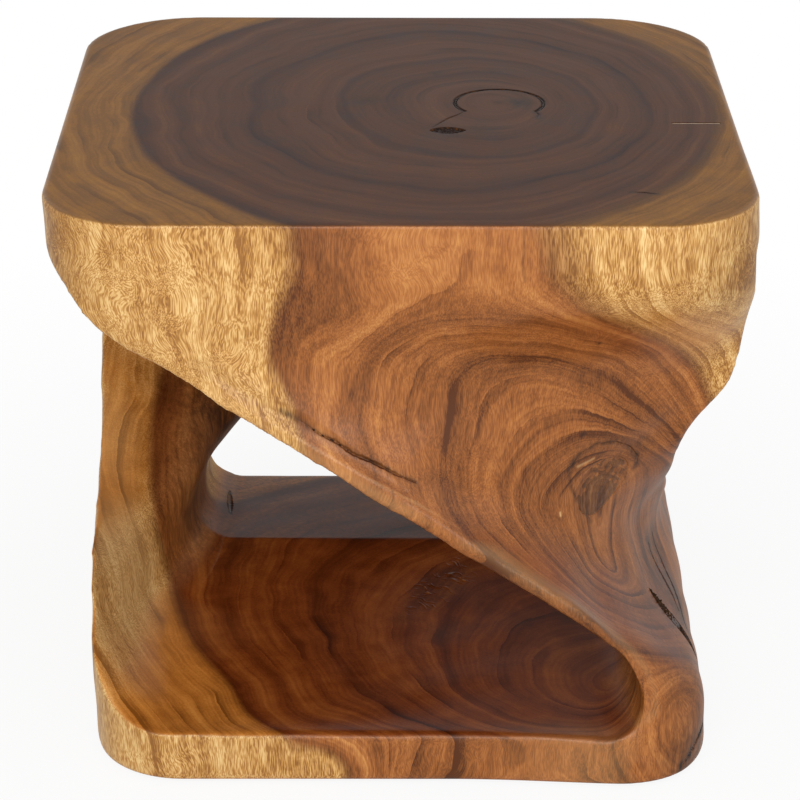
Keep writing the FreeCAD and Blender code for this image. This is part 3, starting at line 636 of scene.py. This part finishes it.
# a torn patch on the floor, where the fibre lifted in short ridges, paler on top with painted glints
torn = {"centre": (34, 2), "along": (0.55, 0.835), "reach": (60, 24), "levels": (30, 62),
        "ridge": 1.9, "length": 7.0, "height": 6.0, "stray": 4.0, "straySize": 11.0, "clumps": 3.7,
        "sparse": (-0.1, 0.15), "fade": (1.0, 0.4), "dark": 0.3, "darkFade": (1.0, 0.5),
        "contrast": 4.0, "paleFrom": 0.35, "pale": 0.6}
# polish: the lacquer was rubbed up on the faces that look outward
rubbed = {"most": 0.45, "outward": (0, 110)}
# the flat top and the rounding below it are sanded: mm below the top
sanded = {"flat": 2.0, "rounding": 7.0, "upward": 0.5}


def spaced(path, step):
    path = np.array(path, float)
    runs = np.linalg.norm(np.diff(path, axis=0), axis=1)
    along = np.concatenate(([0], np.cumsum(runs)))
    spots = np.linspace(0, along[-1], int(along[-1] / step) + 2)
    return np.column_stack([np.interp(spots, along, path[:, k]) for k in range(3)])


def nearest(points, path, margin, batch=4000):
    gap = np.full(len(points), np.inf)
    share = np.zeros(len(points))
    near = np.flatnonzero(((points > path.min(0) - margin) & (points < path.max(0) + margin)).all(1))
    for start in range(0, len(near), batch):
        some = near[start:start + batch]
        square = ((points[some][:, None] - path[None]) ** 2).sum(2)
        gap[some] = np.sqrt(square.min(1))
        share[some] = square.argmin(1) / (len(path) - 1)
    return gap, share


def fillGap(points, name, margin=4):
    gap = np.full(len(points), np.inf)
    low, high = (np.array(corner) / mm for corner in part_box(name))
    for k in np.flatnonzero(((points > low - margin) & (points < high + margin)).all(1)):
        gap[k] = fillTrees[name].find_nearest(points[k])[3]
    return gap


def tornPlaces(points):
    offset = points[:, :2] - torn["centre"]
    along = offset @ torn["along"]
    across = offset @ (-torn["along"][1], torn["along"][0])
    share = np.hypot(along / torn["reach"][0], across / torn["reach"][1])
    low, high = torn["levels"]
    return along, across, np.where((points[:, 2] > low) & (points[:, 2] < high), share, np.inf)


fillTrees = {}
for name in fills:
    data = cadNodes[name].data
    faces = [list(face.vertices) for face in data.polygons]
    fillTrees[name] = BVHTree.FromPolygons(readPoints(data).tolist(), faces)
paths = {}
for name, own in flaws.items():
    found = [body.closest_point_on_mesh(spot * mm)[1] for spot in spaced(own["path"], refine["step"])]
    paths[name] = np.array(found) / mm

# finer mesh round the flaws, so that their edges are cut and not blurred
for cut in range(refine["rounds"]):
    points = readPoints(body.data)
    fine = tornPlaces(points)[2] < 1.0
    for name, own in flaws.items():
        if "broad" not in own:
            fine |= nearest(points, paths[name], refine["margin"])[0] < own["width"] + refine["past"]
    for name in fills:
        fine |= fillGap(points, name) < refine["past"] - cut
    work = bmesh.new()
    work.from_mesh(body.data)
    work.verts.ensure_lookup_table()
    edges = [edge for edge in work.edges if fine[edge.verts[0].index] and fine[edge.verts[1].index]]
    bmesh.ops.subdivide_edges(work, edges=edges, cuts=1, use_grid_fill=True)
    bmesh.ops.triangulate(work, faces=[face for face in work.faces if len(face.verts) > 4])
    work.to_mesh(body.data)
    work.free()
points = readPoints(body.data)
normals = readPoints(body.data, "normal")
print("mesh refined to", len(points), "points")

push = np.zeros(len(points))
stain = np.zeros(len(points))
worn = np.zeros(len(points))
for name, own in flaws.items():
    gap, share = nearest(points, paths[name], own["halo"] * 2.5 + own["width"])
    taper = np.clip(np.sin(np.pi * share), crack["least"], 1) ** crack["bend"]
    width = own["width"] * taper
    if "broad" not in own:
        slow, quick = crack["waves"]
        width *= 1 + crack["ragged"] * np.sin(share * slow + 2) * np.sin(share * quick)
    push = np.maximum(push, own["depth"] * taper * np.clip(1 - (gap / width) ** 2, 0, 1))
    near = np.exp(-(gap / own["halo"]) ** 2)
    stain = np.maximum(stain, own["stain"] * near)
    worn = np.maximum(worn, -own["stain"] * near)
for name, (depth, dark) in beds.items():
    gap = fillGap(points, name)
    push = np.maximum(push, depth * ease(*bedEdge["sunk"], gap))
    stain = np.maximum(stain, dark * ease(*bedEdge["dark"], gap))
for spots in stainsWearAndPaintedLight.values():
    for centre, reach, dark in spots:
        near = np.exp(-(np.linalg.norm(points - centre, axis=1) / reach) ** 2)
        stain = np.maximum(stain, dark * near)
        worn = np.maximum(worn, -dark * near)
# painted shade on the floor behind its ridge
behind = ease(*floorShade["upward"], normals[:, 2]) * zone(floorShade, points)
stain = np.maximum(stain, floorShade["dark"] * behind)
points -= normals * push[:, None]

along, across, share = tornPlaces(points)
lift = np.zeros(len(points))
for k in np.flatnonzero(share < 1):
    far = Vector((along[k] / torn["straySize"], across[k] / torn["straySize"], 3.0))
    stray = torn["stray"] * noise.noise(far)
    spot = Vector((along[k] / torn["ridge"] + stray, across[k] / torn["length"], 0.0))
    fibre, clump = noise.noise(spot), noise.noise(spot / torn["clumps"])
    lift[k] = max(0.0, fibre + torn["sparse"][0]) * max(0.0, clump + torn["sparse"][1])
lift *= ease(*torn["fade"], share)
points[:, 2] += torn["height"] * lift
# the ridge tops get painted glints in the pale colour
worn = np.maximum(worn, np.clip(torn["contrast"] * lift - torn["paleFrom"], 0, torn["pale"]))
stain = np.maximum(stain, torn["dark"] * ease(*torn["darkFade"], share))
writePoints(body.data, points)

# the torn ridges catch the polish too
outward = (normals[:, :2] * points[:, :2]).sum(1)
polish = rubbed["most"] * ease(*rubbed["outward"], outward)
polish = np.maximum(polish, np.clip(torn["contrast"] * lift, 0, 1))
# stains and painted shade darken, wear and painted highlights pale: both go into one attribute
for label, values in (("stain", stain - worn), ("polish", polish)):
    mark = body.data.attributes.new(label, "FLOAT", "POINT")
    mark.data.foreach_set("value", values)
print("flaws cut")

body.data.shade_smooth()
body.data.materials.clear()
for wood in woods:
    body.data.materials.append(wood)
for face in body.data.polygons:
    below = topLevel - face.center.z / mm
    if below < sanded["flat"] or (below < sanded["rounding"] and face.normal.z > sanded["upward"]):
        face.material_index = 1
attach(body, "root")
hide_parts("carved_body")
print("body finished")

# fills: what was pressed or grew into the flaws, sunk a little and rough on top
fillings = {
    "pith_resin": {"node": "pith_fill", "slot": "dark_filler", "material": darkFiller, "sink": (0, 0, -0.9),
                   "voxel": 0.6, "rough": 0.5, "size": 2.6},
    "ring_shake_resin": {"node": "ring_shake_fill", "slot": "dark_filler", "material": darkFiller,
                         "sink": (0, 0, -0.5), "voxel": 0.5, "rough": 0.15, "size": 2.0},
    "top_check_wax": {"node": "top_check_fill", "slot": "pale_wax", "material": paleWax,
                      "sink": (0, 0, -0.1), "voxel": 0.35, "rough": 0.04, "size": 3.0},
    "edge_check_resin": {"node": "edge_check_fill", "slot": "dark_filler", "material": darkFiller,
                         "sink": (-0.7, 2.6, -0.8), "voxel": 0.6, "rough": 0.4, "size": 4.0},
    "dead_knot": {"node": "encased_knot", "slot": "knot_wood", "material": knotMaterial,
                  "sink": (0.0, 0.0, 0.0), "voxel": 0.9, "rough": 0.12, "size": 7.0},
    "bark_inclusion": {"node": "bark_pocket", "slot": "bark", "material": bark, "sink": (-0.7, 0.3, -0.5),
                       "voxel": 0.6, "rough": 0.6, "size": 3.0},
    "foot_void_resin": {"node": "foot_void_fill", "slot": "dark_filler", "material": darkFiller,
                        "sink": (-0.9, 0.9, 0.1), "voxel": 0.6, "rough": 0.9, "size": 4.0},
}
# the fillings' roughness: how many ripples, and their sizes as shares of a filling's own; then their finish
fillLook = {"count": 8, "sizes": (0.6, 1.6), "marks": {"stain": 0.25, "polish": 0.4}}
for name, own in fillings.items():
    piece = remeshed(name, (own["node"],), own["voxel"])
    points = readPoints(piece.data)
    normals = readPoints(piece.data, "normal")
    rough = ripples(points, fillLook["count"], [share * own["size"] for share in fillLook["sizes"]])
    writePoints(piece.data, points + own["sink"] + normals * (own["rough"] * (rough - 1))[:, None])
    for label, value in fillLook["marks"].items():
        mark = piece.data.attributes.new(label, "FLOAT", "POINT")
        mark.data.foreach_set("value", np.full(len(points), value))
    piece.data.shade_smooth()
    piece.data.materials.clear()
    piece.data.materials.append(own["material"])
    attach(piece, "root")
    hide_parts(own["node"])
print("fills set in")

# felt pads under the base
for name, node in cadNodes.items():
    if name.startswith("floor_pad"):
        node.data.materials.clear()
        node.data.materials.append(felt)
print("pads dressed")

# stage, in metres: a pale floor with the object's shadow that goes white away from it, and a white room
studio = {"floorReach": 6.0, "floorColour": "#f2f1ef", "floorRoughness": 0.8, "whiteFrom": (0.35, 1.0),
          "whiteShare": (0.9, 1.0), "roomLight": 0.46, "roomSeen": 1.0, "lampAim": (0, 0, 0.25)}
lamps = {"key": {"place": (-0.7, -2.6, 1.9), "size": 1.7, "power": 42},
         "front": {"place": (0.9, -2.6, 1.0), "size": 1.4, "power": 24},
         "fill": {"place": (2.2, -1.2, 1.6), "size": 1.8, "power": 7}}
eye = {"place": (-0.01365, -2.18545, 1.16764), "tilt": 66.468, "yaw": 0.369, "roll": 0.2273,
       "lens": 134.8785, "sensor": 36, "shiftX": 0.00175}

# matt studio paper: takes a soft shadow, and the camera sees it nearly white
floorMaterial, tree, shader = newMaterial("pale_studio_floor")
shader.inputs["Base Color"].default_value = linear(studio["floorColour"])
shader.inputs["Roughness"].default_value = studio["floorRoughness"]
glow = addNode(tree, "Emission", {}, {"Color": linear("#ffffff"), "Strength": 1.0})
path = addNode(tree, "LightPath", {}, {})
place = addNode(tree, "TexCoord", {}, {}).outputs["Object"]
away = addNode(tree, "VectorMath", {"operation": "LENGTH"}, {0: place}).outputs["Value"]
near, wide = studio["whiteFrom"]
least, most = studio["whiteShare"]
share = addNode(tree, "MapRange", {},
                {"Value": away, "From Min": near, "From Max": wide, "To Min": least, "To Max": most})
shown = addNode(tree, "Math", {"operation": "MULTIPLY"},
                {0: path.outputs["Is Camera Ray"], 1: share.outputs[0]})
blend = addNode(tree, "MixShader", {}, {0: shown.outputs[0], 1: shader.outputs[0], 2: glow.outputs[0]})
tree.links.new(blend.outputs[0], tree.nodes["Material Output"].inputs["Surface"])
mesh = bpy.data.meshes.new("studio_floor")
far = studio["floorReach"]
mesh.from_pydata([(-far, -far, 0), (far, -far, 0), (far, far, 0), (-far, far, 0)], [], [(0, 1, 2, 3)])
floor = bpy.data.objects.new("studio_floor", mesh)
floor.data.materials.append(floorMaterial)
scene.collection.objects.link(floor)

world = bpy.data.worlds.new("studio")
scene.world = world
world.use_nodes = True
tree = world.node_tree
path = addNode(tree, "LightPath", {}, {})
seen = path.outputs["Is Camera Ray"]
for ray in ("Is Glossy Ray", "Is Transmission Ray"):
    seen = addNode(tree, "Math", {"operation": "MAXIMUM"}, {0: seen, 1: path.outputs[ray]}).outputs[0]
level = addNode(tree, "MapRange", {},
                {"Value": seen, "To Min": studio["roomLight"], "To Max": studio["roomSeen"]})
tree.links.new(level.outputs[0], tree.nodes["Background"].inputs["Strength"])
tree.nodes["Background"].inputs["Color"].default_value = linear("#ffffff")

for name, own in lamps.items():
    light = bpy.data.lights.new(name, "AREA")
    light.size = own["size"]
    light.energy = own["power"]
    lamp = bpy.data.objects.new(name, light)
    lamp.location = own["place"]
    lamp.rotation_euler = (Vector(studio["lampAim"]) - lamp.location).to_track_quat("-Z", "Y").to_euler()
    scene.collection.objects.link(lamp)

camera = bpy.data.cameras.new("eye")
camera.lens = eye["lens"]
camera.sensor_width = eye["sensor"]
camera.shift_x = eye["shiftX"]
viewer = bpy.data.objects.new("eye", camera)
aim = Matrix.Rotation(math.radians(-eye["yaw"]), 4, "Z") @ Matrix.Rotation(math.radians(eye["tilt"]), 4, "X")
aim = aim @ Matrix.Rotation(math.radians(eye["roll"]), 4, "Z")
viewer.matrix_world = Matrix.Translation(eye["place"]) @ aim
scene.collection.objects.link(viewer)
scene.camera = viewer
print("stage set")
